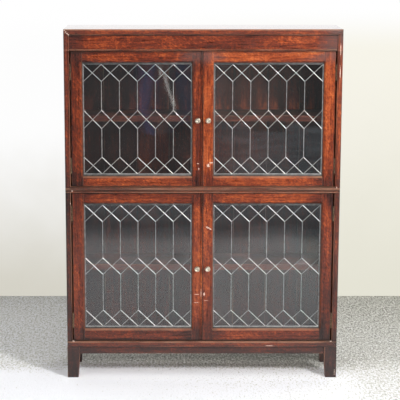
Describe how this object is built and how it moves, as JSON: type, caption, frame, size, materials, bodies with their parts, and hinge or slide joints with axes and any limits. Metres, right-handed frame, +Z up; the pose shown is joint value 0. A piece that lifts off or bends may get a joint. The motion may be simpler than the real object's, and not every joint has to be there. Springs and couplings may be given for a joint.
{
  "type": "barrister bookcase",
  "caption": "Oak stacking bookcase in sections on square legs, with side-hung leaded glass doors, loose shelves and small brass knobs.",
  "frame": {"origin": "on the floor, in the middle of the width and of the depth over the knobs", "axes": "+X to the viewer's right when facing the doors, +Y towards the back (the doors face -Y), +Z up"},
  "size_m": [0.89, 0.224, 1.15],
  "materials": {
    "oak_carcase": "old dark oak, semi-gloss, worn",
    "oak_moulding": "old dark oak, semi-gloss, rubbed on its edges",
    "oak_door": "quarter-sawn oak, orange-brown, semi-gloss",
    "oak_base": "old dark oak, semi-gloss, scuffed",
    "oak_inside": "oak, satin, brown",
    "oak_back": "oak boards, matt, brown",
    "lead": "soft grey lead, semi-dull",
    "glass": "clear old sheet glass, slightly uneven",
    "brass": "worn brass, satin",
    "steel": "plain steel"
  },
  "bodies": {
    "carcase": {"upper_left_side": "oak_carcase", "upper_right_side": "oak_carcase", "upper_top": "oak_carcase", "upper_bottom": "oak_carcase", "upper_back": "oak_back", "upper_frieze": "oak_carcase", "upper_edge_moulding": "oak_moulding", "upper_door_stop": "oak_inside", "upper_shelf": "oak_inside", "lower_left_side": "oak_carcase", "lower_right_side": "oak_carcase", "lower_top": "oak_carcase", "lower_bottom": "oak_carcase", "lower_back": "oak_back", "lower_edge_moulding": "oak_moulding", "lower_door_stop": "oak_inside", "lower_shelf": "oak_inside", "shelf_cleats": "oak_inside", "front_legs": "oak_base", "rear_legs": "oak_base", "front_apron": "oak_base", "rear_apron": "oak_base", "side_aprons": "oak_base", "base_screws": "steel", "section_dowels": "oak_inside", "carcase_hinge_leaves": "brass", "hinge_pins": "brass"},
    "upper_left_door": {"upper_left_door_hinge_stile": "oak_door", "upper_left_door_meeting_stile": "oak_door", "upper_left_door_rails": "oak_door", "upper_left_door_cames": "lead", "upper_left_door_panes": "glass", "upper_left_door_beads": "oak_inside", "upper_left_door_leaves": "brass", "upper_left_door_knob": "brass"},
    "upper_right_door": {"upper_right_door_hinge_stile": "oak_door", "upper_right_door_meeting_stile": "oak_door", "upper_right_door_rails": "oak_door", "upper_right_door_cames": "lead", "upper_right_door_panes": "glass", "upper_right_door_beads": "oak_inside", "upper_right_door_leaves": "brass", "upper_right_door_knob": "brass"},
    "lower_left_door": {"lower_left_door_hinge_stile": "oak_door", "lower_left_door_meeting_stile": "oak_door", "lower_left_door_rails": "oak_door", "lower_left_door_cames": "lead", "lower_left_door_panes": "glass", "lower_left_door_beads": "oak_inside", "lower_left_door_leaves": "brass", "lower_left_door_knob": "brass"},
    "lower_right_door": {"lower_right_door_hinge_stile": "oak_door", "lower_right_door_meeting_stile": "oak_door", "lower_right_door_rails": "oak_door", "lower_right_door_cames": "lead", "lower_right_door_panes": "glass", "lower_right_door_beads": "oak_inside", "lower_right_door_leaves": "brass", "lower_right_door_knob": "brass"}
  },
  "joints": [
    {"name": "upper_left_door_hinge", "type": "hinge", "parent": "carcase", "child": "upper_left_door", "pos_m": [-0.425, -0.0915, 0.86225], "axis": [0, 0, -1], "range_deg": [0, 110]},
    {"name": "upper_right_door_hinge", "type": "hinge", "parent": "carcase", "child": "upper_right_door", "pos_m": [0.425, -0.0915, 0.86225], "axis": [0, 0, 1], "range_deg": [0, 110]},
    {"name": "lower_left_door_hinge", "type": "hinge", "parent": "carcase", "child": "lower_left_door", "pos_m": [-0.425, -0.0915, 0.37425], "axis": [0, 0, -1], "range_deg": [0, 110]},
    {"name": "lower_right_door_hinge", "type": "hinge", "parent": "carcase", "child": "lower_right_door", "pos_m": [0.425, -0.0915, 0.37425], "axis": [0, 0, 1], "range_deg": [0, 110]}
  ]
}
